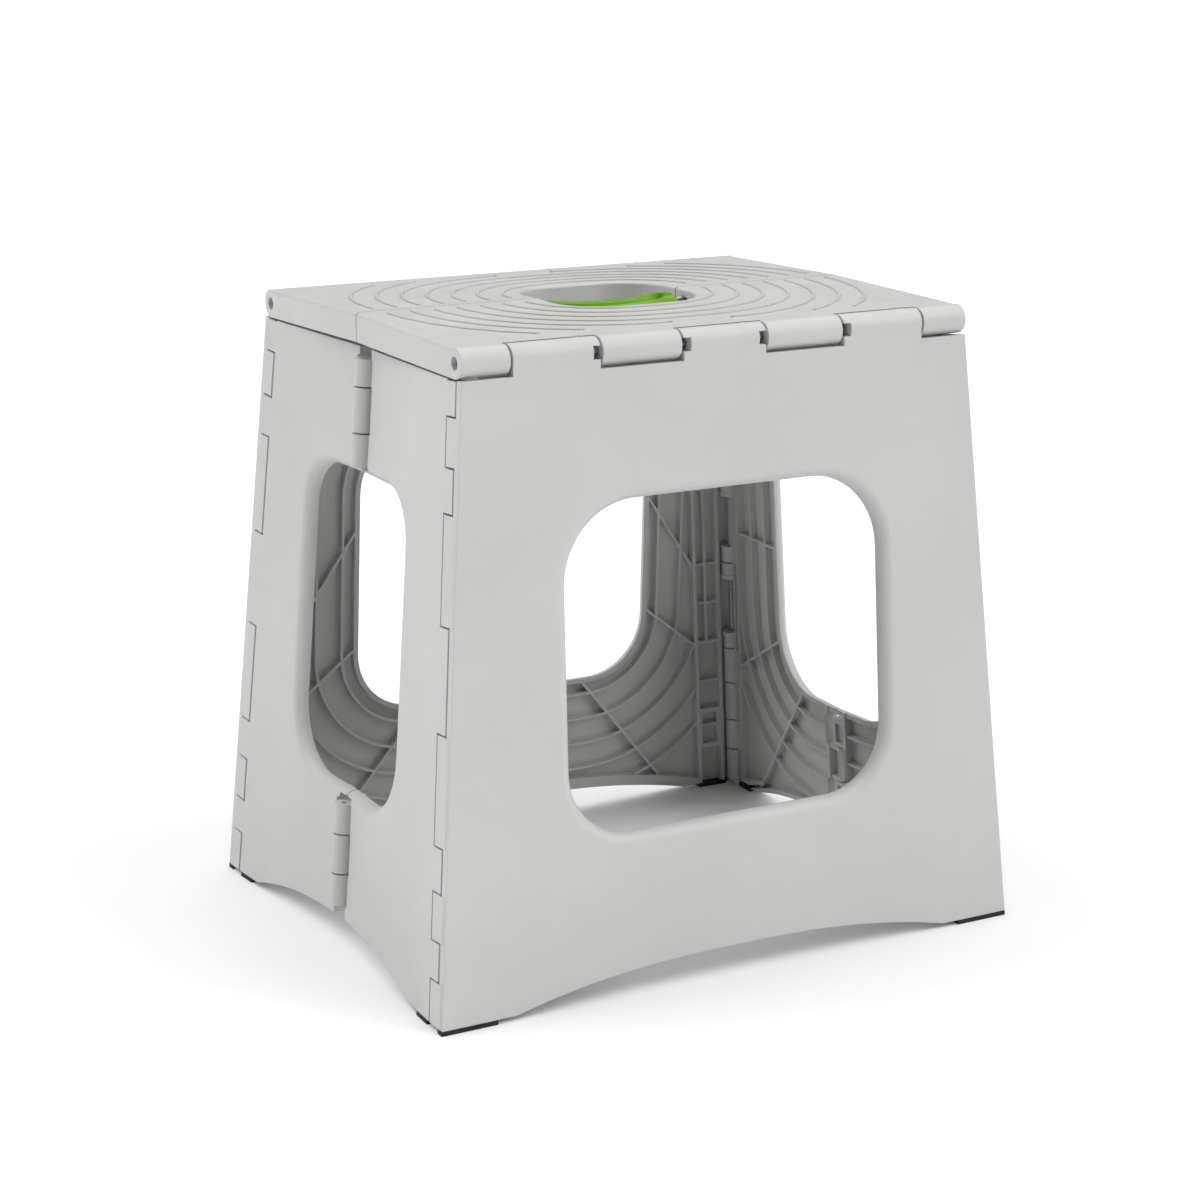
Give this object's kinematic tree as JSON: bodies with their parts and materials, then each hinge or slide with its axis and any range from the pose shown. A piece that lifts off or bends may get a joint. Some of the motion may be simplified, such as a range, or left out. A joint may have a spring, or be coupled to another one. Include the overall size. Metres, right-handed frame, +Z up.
{
  "type": "folding step stool",
  "caption": "Folding step stool with a hinged two-part seat, tread rings and hand hole, hinged front and back panels and inward-folding side walls with large windows.",
  "frame": {"origin": "centre of the footprint on the floor", "axes": "+X along the long edge of the seat, -Y towards the front, +Z up"},
  "size_m": [0.3398, 0.2772, 0.3347],
  "materials": {
    "grey_plastic": "satin moulded",
    "handle_green": "glossy",
    "hinge_pin": "drawn",
    "foot_rubber": "matt"
  },
  "bodies": {
    "panel_front": {"panel_front": "grey_plastic", "edge_pin_front": "hinge_pin", "corner_pin_front_left": "hinge_pin", "corner_pin_front_right": "hinge_pin", "pad_front_left": "foot_rubber", "pad_front_right": "foot_rubber"},
    "panel_back": {"panel_back": "grey_plastic", "edge_pin_back": "hinge_pin", "corner_pin_back_left": "hinge_pin", "corner_pin_back_right": "hinge_pin", "pad_back_left": "foot_rubber", "pad_back_right": "foot_rubber"},
    "seat_front": {"seat_front": "grey_plastic", "seam_pin_left": "hinge_pin", "seam_pin_right": "hinge_pin", "handle_pin_left": "hinge_pin", "handle_pin_right": "hinge_pin"},
    "seat_back": {"seat_back": "grey_plastic"},
    "handle": {"handle": "handle_green"},
    "side_front_left": {"side_front_left": "grey_plastic", "pad_side_front_left": "foot_rubber"},
    "side_front_right": {"side_front_right": "grey_plastic", "pad_side_front_right": "foot_rubber"},
    "side_back_left": {"side_back_left": "grey_plastic", "pad_side_back_left": "foot_rubber"},
    "side_back_right": {"side_back_right": "grey_plastic", "pad_side_back_right": "foot_rubber"}
  },
  "joints": [
    {"name": "edge_front", "type": "hinge", "parent": "panel_front", "child": "seat_front", "pos_m": [0, -0.11168, 0.3245], "axis": [1, 0, 0], "range_deg": [-0.98, 77.45]},
    {"name": "seat_fold", "type": "hinge", "parent": "seat_front", "child": "seat_back", "pos_m": [0, 0, 0.31604], "axis": [-1, 0, 0], "range_deg": [-2, 160]},
    {"name": "edge_back", "type": "hinge", "parent": "seat_back", "child": "panel_back", "pos_m": [0, 0.11168, 0.3245], "axis": [1, 0, 0], "range_deg": [-0.98, 77.45]},
    {"name": "corner_front_left", "type": "hinge", "parent": "panel_front", "child": "side_front_left", "pos_m": [-0.16348, -0.12808, 0], "axis": [-0.0785, -0.0616, -0.995], "range_deg": [-0.97, 77.21]},
    {"name": "corner_front_right", "type": "hinge", "parent": "panel_front", "child": "side_front_right", "pos_m": [0.16348, -0.12808, 0], "axis": [-0.0785, 0.0616, 0.995], "range_deg": [-0.97, 77.21]},
    {"name": "corner_back_left", "type": "hinge", "parent": "panel_back", "child": "side_back_left", "pos_m": [-0.16348, 0.12808, 0], "axis": [0.0785, -0.0616, 0.995], "range_deg": [-0.97, 77.21]},
    {"name": "corner_back_right", "type": "hinge", "parent": "panel_back", "child": "side_back_right", "pos_m": [0.16348, 0.12808, 0], "axis": [0.0785, 0.0616, -0.995], "range_deg": [-0.97, 77.21]},
    {"name": "handle_lift", "type": "hinge", "parent": "seat_front", "child": "handle", "pos_m": [0, -0.00825, 0.32909], "axis": [-1, 0, 0], "range_deg": [0, 100]}
  ],
  "couplings": [
    {"joint": "edge_front", "follows": "seat_fold", "ratio": 0.484},
    {"joint": "edge_back", "follows": "seat_fold", "ratio": 0.484},
    {"joint": "corner_front_left", "follows": "seat_fold", "ratio": 0.4825},
    {"joint": "corner_front_right", "follows": "seat_fold", "ratio": 0.4825},
    {"joint": "corner_back_left", "follows": "seat_fold", "ratio": 0.4825},
    {"joint": "corner_back_right", "follows": "seat_fold", "ratio": 0.4825}
  ]
}
